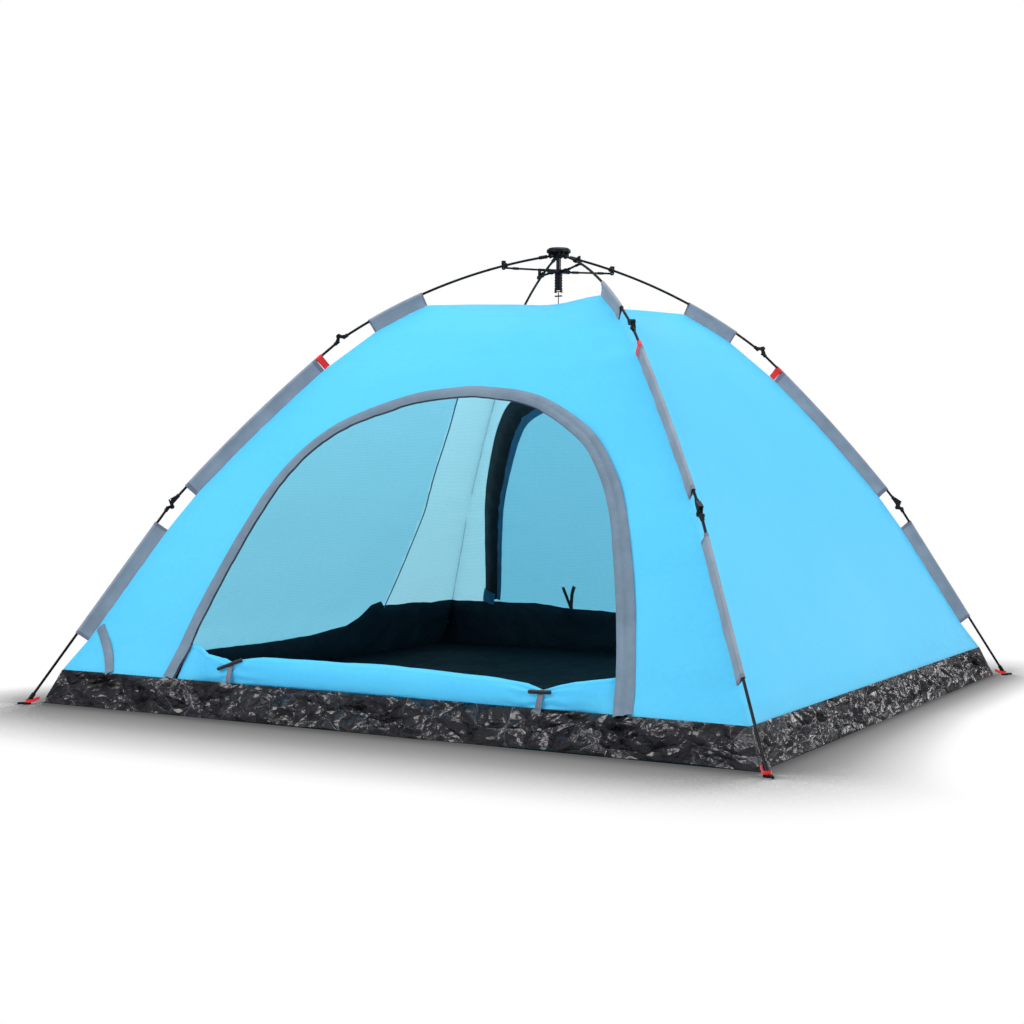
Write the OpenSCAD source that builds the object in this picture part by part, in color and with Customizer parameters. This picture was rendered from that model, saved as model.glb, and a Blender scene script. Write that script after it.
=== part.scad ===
// Pop up tent: umbrella style folding frame outside a square cabin.
// Origin on the ground under the hub, +Z up, door side towards -Y.

/* [Overall] */
// distance between two neighbouring feet
base_width = 2400; // [1800:10:3000]
// height of the top of the hub cap above the ground
hub_top = 1466; // [1200:1:1800]
// how far the pole hinges of the hub lie under its top
pivot_drop = 26; // [18:1:40]
// distance of the pole hinges from the tent axis
pivot_radius = 26; // [24:1:32]

/* [Poles] */
// diameter of the fibreglass rods
pole_d = 8; // [6:0.5:12]
// radius of the upper elbow from the tent axis
elbow1_r = 729; // [600:1:850]
// height of the upper elbow
elbow1_z = 1143.5; // [950:0.5:1300]
// outward bow of the upper pole
bow1 = 40; // [10:1:60]
// radius of the lower elbow from the tent axis
elbow2_r = 1266.5; // [1050:0.5:1450]
// height of the lower elbow
elbow2_z = 611; // [450:1:750]
// outward bow of the middle pole
bow2 = 13; // [5:1:30]

/* [Fittings] */
// outside diameter of the plastic pole sockets
socket_d = 12; // [11:0.5:18]
// length of the rod sockets of the upper elbow
socket1_len = 14; // [10:1:40]
// length of the upper rod socket of the lower elbow
socket2_len = 30; // [10:1:40]
// length of the lower rod socket of the lower elbow
socket3_len = 12; // [10:1:40]
// thickness of each elbow ear
ear_t = 4.2; // [3:0.1:6]
// thickness of the elbow tongue between the ears
tongue_t = 4.8; // [3:0.1:6]
// diameter of the elbow hinge pins
pin_d = 4; // [3:0.5:6]
// running clearance on the radius of every hinge pin
pin_play = 0.05; // [0.02:0.01:0.1]
// outward offset of the upper elbow pin from the pole
pin1_out = 12; // [8:0.5:16]
// inward offset of the lower elbow pin from the pole
pin2_in = 8; // [6:0.5:12]
// play on the diameter of a straight socket round a bowed rod
bore_play = 1.6; // [1.2:0.1:2]

/* [Hub and runner] */
// diameter of the hub cap
cap_d = 80; // [72:1:120]
// diameter of the centre tube
tube_d = 16; // [12:0.5:22]
// height of the strut hinges on the runner
runner_z = 1390; // [1360:1:1400]
// distance of the strut hinges on the runner from the tent axis
runner_r = 40; // [34:1:50]
// sideways offset of each strut from its pole
strut_side = 15.5; // [13:0.5:20]
// distance of the pole bracket hinge from the tent axis
bracket_r = 192; // [160:1:260]
// height of the pole bracket hinge
bracket_z = 1392; // [1370:1:1410]
// diameter of the grip
grip_d = 26; // [20:1:36]

/* [Fabric] */
// thickness of the sheets and tapes as drawn
cloth_t = 1; // [0.6:0.1:3]
// height of the roof at the tent axis
apex_z = 1276; // [1250:1:1320]
// radius of the roof corner where the upper sleeve starts
roof_r = 445; // [350:1:550]
// height of that roof corner
roof_z = 1262; // [1200:1:1300]
// radius of the shoulder corner of the cabin
shoulder_r = 712; // [600:1:800]
// height of the shoulder corner of the cabin
shoulder_z = 1115; // [1000:1:1200]
// radius of the waist corner of the cabin
waist_r = 1240; // [1000:1:1400]
// height of the waist corner of the cabin
waist_z = 588; // [450:1:700]
// radius of the top corner of the groundsheet tub
tub_r = 1590; // [1400:1:1650]
// height of the groundsheet tub wall
tub_z = 104; // [80:1:160]
// radius of the bottom corner of the groundsheet
floor_r = 1650; // [1500:1:1690]
// depth of the sleeve web between pole and cabin corner
web_depth = 33; // [20:1:45]

/* [Door] */
// height of the top of the door arch
door_top = 979; // [800:1:1050]
// width of the door edge tape over the arch
trim_w = 34; // [20:1:60]
// thickness of the rolled down door
roll_d = 62; // [40:1:90]

/* [Hidden] */
$fn = 48;
rt2 = sqrt(2);
tiny = 0.2;
elbow_reach = 12;
lug_z = 9;
knuckle_r = 7.5;
grip_len = 56;
grip_top = runner_z - 6;
lug_r = 10.8;
cord_pin_z = grip_top - grip_len - 5;
LEGS = ["fl", "fr", "br", "bl"];

foot_r = base_width / rt2;
pivot_z = hub_top - pivot_drop;
pivot = [pivot_radius, pivot_z];
elbow1 = [elbow1_r, elbow1_z];
elbow2 = [elbow2_r, elbow2_z];
foot = [foot_r, 0];

// angle above the horizontal of the line from p to q in a leg's plane
function slope(p, q) = atan2(q[1] - p[1], q[0] - p[0]);
function dist(p, q) = norm(q - p);
function bow_radius(len, bow) = (len * len / 4 + bow * bow) / (2 * bow);
function bow_span(len, bow) = 2 * asin(len / 2 / bow_radius(len, bow));

len1 = dist(pivot, elbow1);
len2 = dist(elbow1, elbow2);
len3 = dist(elbow2, foot);
dir1 = slope(pivot, elbow1);
dir2 = slope(elbow1, elbow2);
dir3 = slope(elbow2, foot);
root_dir = dir1 + bow_span(len1, bow1) / 2;
end1_dir = dir1 - bow_span(len1, bow1) / 2;
start2_dir = dir2 + bow_span(len2, bow2) / 2;
end2_dir = dir2 - bow_span(len2, bow2) / 2;
mean1 = (end1_dir + start2_dir) / 2;
mean2 = (end2_dir + dir3) / 2;
kink1 = (end1_dir - start2_dir) / 2;
kink2 = (end2_dir - dir3) / 2;

// leg i stands at 225, 315, 45, 135 degrees for fl, fr, br, bl
module in_leg(i) {
    rotate([0, 0, 225 + 90 * i])
        children();
}

// moves to point p of a leg's plane and turns +X along direction a
module aim(p, a) {
    translate([p[0], 0, p[1]])
        rotate([0, -a, 0])
            children();
}

// cylinder across a leg's plane between two sideways positions
module across(d, y0, y1) {
    translate([0, y1, 0])
        rotate([90, 0, 0])
            cylinder(d = d, h = y1 - y0);
}

// cylinder along +X from x0 to x1
module along(d, x0, x1) {
    translate([x0, 0, 0])
        rotate([0, 90, 0])
            cylinder(d = d, h = x1 - x0);
}

// sweeps a 2D profile along a bowed line of length len from s0 to s1;
// the profile's +X points to the outer side of the bow
module bowed(len, bow, s0, s1) {
    r = bow_radius(len, bow);
    span = bow_span(len, bow);
    translate([len / 2, 0, bow - r])
        rotate([90, 0, 0])
            rotate([0, 0, 90 + span / 2 - span * s1 / len])
                rotate_extrude(angle = span * (s1 - s0) / len, $fn = 180)
                    translate([r, 0])
                        children();
}

// ---- frame parts of one leg ----

module upper_pole(i) {
    color("#15171a") in_leg(i) aim(pivot, dir1)
        bowed(len1, bow1, 22, len1 - elbow_reach - 3)
            circle(d = pole_d);
}

module middle_pole(i) {
    color("#15171a") in_leg(i) aim(elbow1, dir2)
        bowed(len2, bow2, elbow_reach + 3, len2 - elbow_reach - 3)
            circle(d = pole_d);
}

module lower_pole(i) {
    color("#15171a") in_leg(i) aim(elbow2, dir3)
        along(pole_d, elbow_reach + 3, len3 - 14);
}

// one half of an elbow: socket, flat plate and knuckle.
// The rod comes from -X, the elbow point is the origin and the pin is at height out.
// The wide block stays on the rod's side of the pin so that the halves can fold flat.
module elbow_half(out, kink, fork, lug, socket_len) {
    base_x = -(knuckle_r + 1.5);
    foot_x = base_x - socket_len + 4;
    up = out > 0 ? out - 2 : (lug ? lug_z + 5 : 6);
    down = out > 0 ? -6 : out + 2;
    layers = fork ? [[tongue_t / 2 + tiny, ear_t], [-tongue_t / 2 - tiny - ear_t, ear_t]]
                  : [[-tongue_t / 2, tongue_t]];
    wide = tongue_t + 2 * tiny + 2 * ear_t;
    difference() {
        union() {
            rotate([0, -kink, 0])
                along(socket_d, -elbow_reach - socket_len, -elbow_reach + 3);
            translate([0, wide / 2, 0])
                rotate([90, 0, 0])
                    linear_extrude(wide)
                        polygon([[foot_x, -4], [foot_x, 4], [base_x, up], [base_x, down]]);
            for (l = layers)
                translate([0, l[0] + l[1], 0])
                    rotate([90, 0, 0])
                        linear_extrude(l[1])
                            polygon([[base_x - 1, down + 1], [base_x - 1, up - 1],
                                     [-1, out + knuckle_r - 0.5], [-1, out - knuckle_r + 0.5]]);
            for (l = layers)
                translate([0, 0, out])
                    across(2 * knuckle_r, l[0], l[0] + l[1]);
        }
        translate([0, 0, out])
            across(pin_d + 2 * pin_play, -wide, wide);
        if (lug)
            translate([base_x - 5, 0, lug_z])
                across(4, -wide, wide);
        rotate([0, -kink, 0])
            along(pole_d + bore_play, -elbow_reach - socket_len - 1, -elbow_reach);
    }
}

// hinge pin of an elbow with a flat head on both sides
module elbow_pin(out) {
    reach = tongue_t / 2 + tiny + ear_t;
    translate([0, 0, out]) {
        across(pin_d, -reach - 1, reach + 1);
        across(pin_d + 4, reach + tiny, reach + 1.4);
        across(pin_d + 4, -reach - 1.4, -reach - tiny);
    }
}

bracket_s = (bracket_r - pivot[0] - 6) / cos(root_dir);

// clamp on the upper pole with a side ear for the strut
module strut_bracket() {
    ear_in = strut_side - 2 - tiny - 4;
    difference() {
        union() {
            aim(pivot, dir1)
                bowed(len1, bow1, bracket_s - 8, bracket_s + 8)
                    difference() {
                        circle(d = socket_d + 3);
                        circle(d = pole_d + 0.4);
                    }
            translate([bracket_r, ear_in + 4, bracket_z])
                rotate([90, 0, 0])
                    cylinder(d = 13, h = 4);
            translate([bracket_r - 6.5, ear_in, bracket_z])
                cube([13, 4, 24]);
            translate([bracket_r - 6.5, pole_d / 2 + 1.5, bracket_z + 12])
                cube([13, ear_in - pole_d / 2, 10]);
        }
        translate([bracket_r, 0, bracket_z])
            across(pin_d + 2 * pin_play, ear_in - 1, ear_in + 5);
    }
}

module upper_fittings(i) {
    color("#1c1e22") in_leg(i) {
        aim(pivot, root_dir)
            difference() {
                union() {
                    across(14, -3.5, 3.5);
                    along(7, 0, 16);
                    along(socket_d, 14, 42);
                }
                across(pin_d + 2 * pin_play, -5, 5);
                aim([0, 0], dir1 - root_dir)
                    bowed(len1, bow1, 20, 90)
                        circle(d = pole_d + 0.6);
            }
        strut_bracket();
        aim(elbow1, mean1) {
            elbow_half(pin1_out, kink1, true, false, socket1_len);
            elbow_pin(pin1_out);
        }
    }
}

module middle_fittings(i) {
    color("#1c1e22") in_leg(i) {
        aim(elbow1, mean1)
            mirror([1, 0, 0])
                elbow_half(pin1_out, kink1, false, false, socket1_len);
        aim(elbow2, mean2) {
            elbow_half(-pin2_in, kink2, true, true, socket2_len);
            elbow_pin(-pin2_in);
        }
    }
}

module lower_fittings(i) {
    foot_len = 30;
    color("#1c1e22") in_leg(i) {
        aim(elbow2, mean2)
            mirror([1, 0, 0])
                elbow_half(-pin2_in, kink2, false, false, socket3_len);
        difference() {
            union() {
                intersection() {
                    aim(elbow2, dir3)
                        along(socket_d + 1, len3 - foot_len - 10, len3 + 8);
                    translate([foot_r - 60, -20, 0])
                        cube([120, 40, 80]);
                }
                translate([foot_r - 2, 0, 0])
                    cylinder(d = 24, h = 5);
                translate([foot_r, 0, 4])
                    along(7, 0, 26);
            }
            aim(elbow2, dir3)
                along(pole_d + 0.6, len3 - foot_len - 12, len3 - 13);
        }
    }
}

strut_len = dist([runner_r, runner_z], [bracket_r, bracket_z]);

// slim rod with an eye at each end, from the runner to the pole bracket
module strut(i) {
    color("#1a1c20") in_leg(i)
        translate([0, strut_side, 0])
            aim([runner_r, runner_z], slope([runner_r, runner_z], [bracket_r, bracket_z]))
                difference() {
                    union() {
                        across(12, -2, 2);
                        translate([strut_len, 0, 0])
                            across(12, -2, 2);
                        translate([0, -2, -3])
                            cube([strut_len, 4, 6]);
                        along(6, 8, strut_len - 26);
                        along(9, 12, 34);
                        along(9, strut_len - 50, strut_len - 30);
                    }
                    across(pin_d + 2 * pin_play, -3, 3);
                    translate([strut_len, 0, 0])
                        across(pin_d + 1, -3, 3);
                    translate([-3, 2, -8])
                        cube([13, 4, 16]);
                    translate([-3, -6, -8])
                        cube([13, 4, 16]);
                }
}

// ---- hub and runner ----

module hub_cap() {
    ear_h = pivot_drop - 12;
    color("#17191c")
        difference() {
            union() {
                translate([0, 0, pivot_z + 12])
                    cylinder(d = cap_d, h = pivot_drop - 18);
                translate([0, 0, hub_top - 6])
                    cylinder(d1 = cap_d, d2 = cap_d - 14, h = 6);
                translate([0, 0, pivot_z - 6])
                    cylinder(d = tube_d + 10, h = 20);
                for (i = [0:3])
                    in_leg(i)
                        for (y = [3.7, -9.7])
                            translate([pivot_radius, y, pivot_z])
                                union() {
                                    translate([-7, 0, 0])
                                        cube([14, 6, ear_h]);
                                    across(14, 0, 6);
                                }
            }
            translate([0, 0, pivot_z - 8])
                cylinder(d = tube_d, h = 22);
            for (i = [0:3])
                in_leg(i) {
                    translate([pivot_radius, 0, pivot_z])
                        across(pin_d, -14, 14);
                    translate([pivot_radius - 9, -3.6, pivot_z - 9])
                        cube([30, 7.2, 20]);
                }
        }
}

module centre_tube() {
    tube_low = runner_z - 30;
    color("#9a9da2")
        translate([0, 0, tube_low])
            difference() {
                cylinder(d = tube_d, h = pivot_z + 10 - tube_low);
                translate([0, 0, -1])
                    cylinder(d = tube_d - 3, h = pivot_z + 14 - tube_low);
            }
}

module hub_pins() {
    color("#b9bcc0")
        for (i = [0:3])
            in_leg(i)
                translate([pivot_radius, 0, pivot_z])
                    across(pin_d, -9.7, 9.7);
}

module runner() {
    arm_in = strut_side - 2 - tiny - 4;
    color("#22262b")
        difference() {
            union() {
                translate([0, 0, runner_z - 6])
                    cylinder(d = 38, h = 11);
                translate([0, 0, grip_top - grip_len])
                    cylinder(d = grip_d - 3, h = grip_len);
                for (k = [0:5])
                    translate([0, 0, grip_top - grip_len + 2 + 9 * k])
                        cylinder(d = grip_d, h = 5);
                for (s = [-1, 1])
                    translate([s * lug_r - 1.8, -5, grip_top - grip_len - 9])
                        cube([3.6, 10, 10]);
                for (i = [0:3])
                    in_leg(i) {
                        translate([10, arm_in, runner_z - 6])
                            cube([runner_r - 10, 4, 11]);
                        translate([runner_r, 0, runner_z])
                            across(12, arm_in, arm_in + 4);
                        translate([runner_r, 0, runner_z])
                            across(pin_d, arm_in, strut_side + 3.6);
                        translate([runner_r, 0, runner_z])
                            across(pin_d + 3, strut_side + 2.2, strut_side + 3.6);
                    }
            }
            translate([0, 0, grip_top - grip_len - 1])
                cylinder(d = tube_d + 0.4, h = grip_len + 20);
            translate([0, 0, cord_pin_z])
                along(4, -lug_r - 3, lug_r + 3);
        }
}

// cord that hangs from a bar between the lugs of the grip, with a cross toggle
// just above the roof
module roof_cord() {
    color("#101214") {
        translate([0, 0, apex_z + 6])
            cylinder(d = 3, h = cord_pin_z - apex_z - 6);
        translate([0, 0, cord_pin_z])
            along(3.2, -lug_r - 1.6, lug_r + 1.6);
        translate([0, 0, apex_z + 32])
            along(5, -13, 13);
    }
}

// ---- fabric ----

// 2D section of a sleeve: tube round the pole and a web towards the cabin
module sleeve_tube() {
    difference() {
        circle(d = pole_d + 5);
        circle(d = pole_d + 2.6);
    }
}

module sleeve_web() {
    translate([-pole_d / 2 - 1.9 - web_depth, -cloth_t])
        square([web_depth, 2 * cloth_t]);
}

module sleeve_on_bow(p, a, len, bow, s0, s1) {
    aim(p, a) {
        bowed(len, bow, s0, s1)
            sleeve_tube();
        bowed(len, bow, s0, s1)
            sleeve_web();
    }
}

module upper_sleeve(i) {
    color("#8794a5") in_leg(i)
        sleeve_on_bow(pivot, dir1, len1, bow1, 0.6 * len1, 0.86 * len1);
}

module middle_sleeve(i) {
    color("#8794a5") in_leg(i)
        sleeve_on_bow(elbow1, dir2, len2, bow2, 0.14 * len2, 0.9 * len2);
}

module lower_sleeve(i) {
    s0 = 0.09 * len3;
    s1 = 0.65 * len3;
    color("#8794a5") in_leg(i)
        aim(elbow2, dir3) {
            difference() {
                along(pole_d + 5, s0, s1);
                along(pole_d + 2.6, s0 - 1, s1 + 1);
            }
            translate([s0, -cloth_t, -pole_d / 2 - 1.9 - web_depth])
                cube([s1 - s0, 2 * cloth_t, web_depth]);
        }
}

// flat panel between two level edges on side i of the cabin.
// Corner radii and heights are those of the lower and upper edge.
module slant(i, r0, z0, r1, z1, in = 0) {
    y0 = r0 / rt2;
    y1 = r1 / rt2;
    rise = norm([y0 - y1, z1 - z0]);
    side = 2.5;
    rotate([0, 0, 90 * i])
        translate([0, -y0, z0])
            rotate([atan2(z1 - z0, y0 - y1), 0, 0])
                translate([0, 0, -cloth_t - in])
                    linear_extrude(cloth_t)
                        polygon([[-y0 + side, 0.6], [y0 - side, 0.6],
                                 [max(y1 - side, 0.1), rise - 0.6],
                                 [min(side - y1, -0.1), rise - 0.6]]);
}

// outline of the door opening seen from the front: x, height above ground
door_foot = tub_z + 6;
DOOR = [[-699, door_foot], [-608, 520], [-590, 588], [-531, 734], [-413, 868],
        [-209, 953], [-60, door_top - 2], [70, door_top], [258, 948], [429, 870],
        [529, 797], [622, 686], [676, 588], [741, 404], [815, door_foot]];
door_mid = [60, 480];
function grown(g, low) = [for (p = DOOR)
    let (d = p - door_mid, n = norm(d))
    [p[0] + d[0] / n * g, p[1] == door_foot ? low : p[1] + d[1] / n * g]];

// upright block with an outline seen from the front, reaching through the front wall
module front_block(outline) {
    translate([0, -300, 0])
        rotate([90, 0, 0])
            linear_extrude(1000)
                polygon(outline);
}

// the same with the door outline grown by g, from height low up
module door_block(g, low) {
    front_block(grown(g, low));
}

module side_wall(i) {
    slant(i, shoulder_r, shoulder_z, roof_r, roof_z);
    slant(i, waist_r, waist_z, shoulder_r, shoulder_z);
    slant(i, tub_r, tub_z, waist_r, waist_z);
}

module roof_panel() {
    color("#6fcdf2")
        for (i = [0:3])
            slant(i, roof_r, roof_z, 12, apex_z - 2);
}

module front_wall() {
    color("#6ed7ff")
        difference() {
            side_wall(0);
            door_block(-trim_w * 0.6, 0);
        }
}

module right_wall() {
    color("#5fc6ee")
        side_wall(1);
}

module back_wall() {
    color("#6ed7ff")
        side_wall(2);
}

module left_wall() {
    color("#5fc6ee")
        side_wall(3);
}

module tub_walls() {
    color("#2b2c30")
        for (i = [0:3])
            slant(i, floor_r, 0, tub_r, tub_z);
}

module ground_sheet() {
    half = floor_r / rt2 - 3;
    color("#17191e")
        translate([-half, -half, 0])
            cube([2 * half, 2 * half, cloth_t]);
}

// tape round the door arch, lying on the outside of the front wall
module door_trim() {
    color("#8c8ea5")
        difference() {
            intersection() {
                union() {
                    slant(0, waist_r, waist_z, shoulder_r, shoulder_z, -cloth_t - tiny);
                    slant(0, tub_r, tub_z, waist_r, waist_z, -cloth_t - tiny);
                }
                door_block(0, door_foot);
            }
            door_block(-trim_w, 0);
        }
}

// moves to the axis of the rolled door at position x and turns +Z along it
module at_roll(x) {
    translate([x, -tub_r / rt2 + 28, tub_z + roll_d / 2 + 2])
        rotate([0, 90, 0])
            children();
}

// door rolled down onto the sill, tapering towards its right end
module rolled_door() {
    long_part = 900;
    color("#6ed7ff")
        at_roll(-600) {
            cylinder(d1 = roll_d, d2 = roll_d * 0.8, h = long_part);
            translate([0, 0, long_part])
                cylinder(d1 = roll_d * 0.8, d2 = roll_d * 0.4, h = 440);
        }
}

// strap round the rolled door with a toggle bar on its outer upper side
module door_ties() {
    strap_w = 16;
    bar_d = 8;
    bar_off = roll_d / 2 + 3.5 + bar_d / 2;
    color("#30343c")
        for (tie = [[-474, 84], [545, 62]])
            at_roll(tie[0]) {
                difference() {
                    cylinder(d = roll_d + 7, h = strap_w);
                    translate([0, 0, -1])
                        cylinder(d = roll_d + 3, h = strap_w + 2);
                }
                rotate([0, 0, 230])
                    translate([bar_off - 0.5, 0, (strap_w - tie[1]) / 2])
                        cylinder(d = bar_d, h = tie[1]);
            }
}

// closed zip of the second door, on the inside of the back wall
module back_door_zip() {
    tape_in = cloth_t + tiny;
    color("#22252b")
        rotate([0, 0, 180])
            difference() {
                intersection() {
                    union() {
                        slant(0, waist_r, waist_z, shoulder_r, shoulder_z, tape_in);
                        slant(0, tub_r, tub_z, waist_r, waist_z, tape_in);
                    }
                    door_block(0, door_foot);
                }
                door_block(-trim_w * 0.7, 0);
            }
}

// pair of tapes that tie the second door back, on the inside of the back wall
module back_door_ties() {
    tie_in = cloth_t + tiny;
    color("#22252b")
        rotate([0, 0, 180])
            intersection() {
                slant(0, tub_r, tub_z, waist_r, waist_z, tie_in);
                union() {
                    front_block([[486, 192], [500, 192], [512, 284], [498, 284]]);
                    front_block([[486, 192], [500, 192], [460, 290], [447, 288]]);
                }
            }
}

// short tape that runs down to the tub next to the front left pole
module corner_tape() {
    color("#8c8ea5")
        intersection() {
            slant(0, tub_r, tub_z, waist_r, waist_z, -cloth_t - tiny);
            front_block([[-1046, 222], [-975, 158], [-944, tub_z], [-915, tub_z],
                         [-946, 172], [-1022, 240]]);
        }
}

module corner_straps() {
    color("#d8242c")
        for (i = [0:3])
            in_leg(i)
                translate([floor_r + 2, -12.5, 2])
                    cube([foot_r - floor_r - 18, 25, 2]);
}

module pole_tabs() {
    color("#d8242c")
        for (i = [0:3])
            in_leg(i)
                aim(elbow1, dir2)
                    translate([0.1 * len2, -cloth_t, 9 - web_depth])
                        cube([20, 2 * cloth_t, web_depth - 10]);
}

hub_cap();
centre_tube();
hub_pins();
runner();
roof_cord();
for (i = [0:3]) {
    upper_pole(i);
    upper_fittings(i);
    middle_pole(i);
    middle_fittings(i);
    lower_pole(i);
    lower_fittings(i);
    strut(i);
    upper_sleeve(i);
    middle_sleeve(i);
    lower_sleeve(i);
}
roof_panel();
front_wall();
right_wall();
back_wall();
left_wall();
tub_walls();
ground_sheet();
door_trim();
rolled_door();
door_ties();
back_door_zip();
back_door_ties();
corner_tape();
corner_straps();
pole_tabs();
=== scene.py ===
import math
import bpy
import numpy as np
from mathutils import Matrix, Vector, noise


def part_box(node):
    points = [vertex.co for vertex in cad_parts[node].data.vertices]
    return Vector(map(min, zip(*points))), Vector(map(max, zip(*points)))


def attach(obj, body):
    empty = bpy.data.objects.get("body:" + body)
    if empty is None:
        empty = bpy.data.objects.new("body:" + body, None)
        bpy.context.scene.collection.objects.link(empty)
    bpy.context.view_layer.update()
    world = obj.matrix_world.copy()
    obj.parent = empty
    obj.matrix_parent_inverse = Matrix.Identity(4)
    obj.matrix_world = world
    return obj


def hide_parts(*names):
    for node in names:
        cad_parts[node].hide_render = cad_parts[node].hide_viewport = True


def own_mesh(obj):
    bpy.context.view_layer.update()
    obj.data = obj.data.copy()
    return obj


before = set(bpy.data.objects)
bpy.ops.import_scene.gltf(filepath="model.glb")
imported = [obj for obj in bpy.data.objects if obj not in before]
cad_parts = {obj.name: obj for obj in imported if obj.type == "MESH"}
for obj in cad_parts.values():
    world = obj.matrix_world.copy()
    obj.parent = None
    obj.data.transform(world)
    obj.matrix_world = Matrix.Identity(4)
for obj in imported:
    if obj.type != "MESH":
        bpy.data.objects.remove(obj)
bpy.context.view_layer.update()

# ---- sizes of the cabin, in metres, taken from the CAD nodes and joints ----
RT2 = math.sqrt(2)
SIGN = {"fl": (-1, -1), "fr": (1, -1), "br": (1, 1), "bl": (-1, 1)}
SIDE_LEGS = [("fl", "fr"), ("fr", "br"), ("br", "bl"), ("bl", "fl")]
SIDE_NAME = ["front", "right", "back", "left"]

PIVOT = np.array([0.026, 1.440])
ELBOW1 = np.array([0.729, 1.1435])
ELBOW2 = np.array([1.2665, 0.611])
FOOT = np.array([2.4 / RT2, 0.0])
TUB_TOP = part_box("tub_walls")[1].z
FLOOR_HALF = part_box("ground_sheet")[1].x
APEX = np.array([0.0, 1.276])
ROOF = np.array([0.445, 1.262])
SHOULDER = np.array([0.712, 1.115])
WAIST = np.array([1.240, 0.588])
TUB = np.array([1.590, TUB_TOP])
BASE = np.array([FLOOR_HALF * RT2 + 0.003, 0.004])
# how far the cabin corner lies inside the line of the rods
WEB = 0.039


def bowed(p, q, bow, t, off):
    """Point at share t of a line that runs down from p to q, bows out by bow and is moved in
    by off. Both values are negative on a line that runs up.
    """
    d = q - p
    length = np.linalg.norm(d)
    d = d / length
    n = np.array([-d[1], d[0]])
    slope = 4 * bow * (1 - 2 * t) / length
    out = (n - d * slope) / math.hypot(1, slope)
    return p + d * length * t + n * 4 * bow * t * (1 - t) - out * off


CORNER = [BASE, TUB]
CORNER += [bowed(FOOT, ELBOW2, 0, t, -WEB) for t in (0.35, 0.5, 0.65, 0.8, 0.91)]
CORNER += [bowed(ELBOW2, ELBOW1, -0.013, t, -WEB) for t in (0.1, 0.3, 0.5, 0.7, 0.86)]
CORNER += [bowed(ELBOW1, PIVOT, -0.040, t, -WEB) for t in (0.14, 0.25, 0.4)]
CORNER += [np.array([0.30, 1.270]), np.array([0.15, 1.275]), APEX]
CORNER = np.array(CORNER)
RUN = np.concatenate([[0], np.cumsum(np.linalg.norm(np.diff(CORNER, axis=0), axis=1))])


def corner(s):
    """Radius and height of the cabin's corner edge at run length s from the ground."""
    r = np.interp(s, RUN, CORNER[:, 0])
    z = np.interp(s, RUN, CORNER[:, 1])
    return r, z


def spin(side, a, o, z):
    """World point from a side's own along, outward and height values."""
    c, s = [(1, 0), (0, 1), (-1, 0), (0, -1)][side]
    x, y = a, -o
    return np.stack([c * x - s * y, s * x + c * y, z], -1)


# how deep the walls sag between their corners
SAG = 0.020


def sag_at(u, s):
    """Depth of the sag of a wall at u and s, as in panel."""
    k = np.clip((s - RUN[1]) / (RUN[-1] - RUN[1]), 0, 1)
    depth = SAG * np.sin(np.pi * np.clip(k * 1.05, 0, 1)) ** 0.8
    return depth * (1 - u * u)


# and how deep the roof dips near its rim
ROOF_SAG = 0.035


def panel(side, u, s, lift=0.0):
    """Point of side panel: u from -1 to 1 along it, s the run length up the corner."""
    r, z = corner(s)
    h = r / RT2
    o = h - sag_at(u, s) * 0.85 + lift * 0.8
    dip = ROOF_SAG * (1 - u * u) * np.exp(-((r - 0.42) / 0.22) ** 2)
    return spin(side, u * h, o, z - sag_at(u, s) * 0.35 - dip + lift * 0.55)


def panel_xz(side, x, z, lift=0.0):
    """Point of a side panel at along position x and about height z."""
    keep = RUN <= RUN[-4] + 1e-9
    s = np.interp(z, CORNER[keep, 1], RUN[keep])
    h = corner(s)[0] / RT2
    u = np.clip(np.asarray(x) / h, -1.05, 1.05)
    return panel(side, u, s, lift)


# ---- helpers ----
def make(name, verts, faces, mat, smooth=True, uv=None):
    """New mesh object; uv holds one pair for each vertex."""
    me = bpy.data.meshes.new(name)
    me.from_pydata([tuple(v) for v in verts], [], [tuple(f) for f in faces])
    me.update()
    if smooth:
        me.polygons.foreach_set("use_smooth", [True] * len(me.polygons))
    if uv is not None:
        layer = me.uv_layers.new(name="UVMap")
        loop_v = np.zeros(len(me.loops), np.int32)
        me.loops.foreach_get("vertex_index", loop_v)
        layer.data.foreach_set("uv", np.asarray(uv, np.float32)[loop_v].ravel())
    o = bpy.data.objects.new(name, me)
    bpy.context.scene.collection.objects.link(o)
    if mat is not None:
        me.materials.append(mat)
    return o


def grid_faces(nu, nv, wrap=False):
    """Quads of a grid of nu by nv points, closed along u where wrap is set."""
    f = []
    for j in range(nv - 1):
        for i in range(nu if wrap else nu - 1):
            a, b = j * nu + i, j * nu + (i + 1) % nu
            f.append((a, b, b + nu, a + nu))
    return f


def vertex_normals(verts, faces):
    v = np.asarray(verts, float)
    n = np.zeros_like(v)
    f = np.array([list(q) + [q[-1]] * (4 - len(q)) for q in faces])
    fn = np.cross(v[f[:, 2]] - v[f[:, 0]], v[f[:, 3]] - v[f[:, 1]])
    for k in range(4):
        np.add.at(n, f[:, k], fn)
    return n / np.maximum(np.linalg.norm(n, axis=1, keepdims=True), 1e-12)


def fbm(p, scale, seed=0.0, octaves=3):
    """Fractal noise, about -1 to 1."""
    return noise.fractal(Vector((p[0] * scale + seed, p[1] * scale - seed, p[2] * scale)),
                         0.9, 2.1, octaves)


# ---- how soft pieces follow the folding frame ----
def leg_frame(leg):
    sx, sy = SIGN[leg]
    return np.array([sx, sy, 0]) / RT2


BODY = {"lower": "lower_leg_", "middle": "middle_leg_", "upper": "upper_leg_",
        "roof": "upper_leg_", "apex": "upper_leg_"}
APEX_R = 0.22


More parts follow.
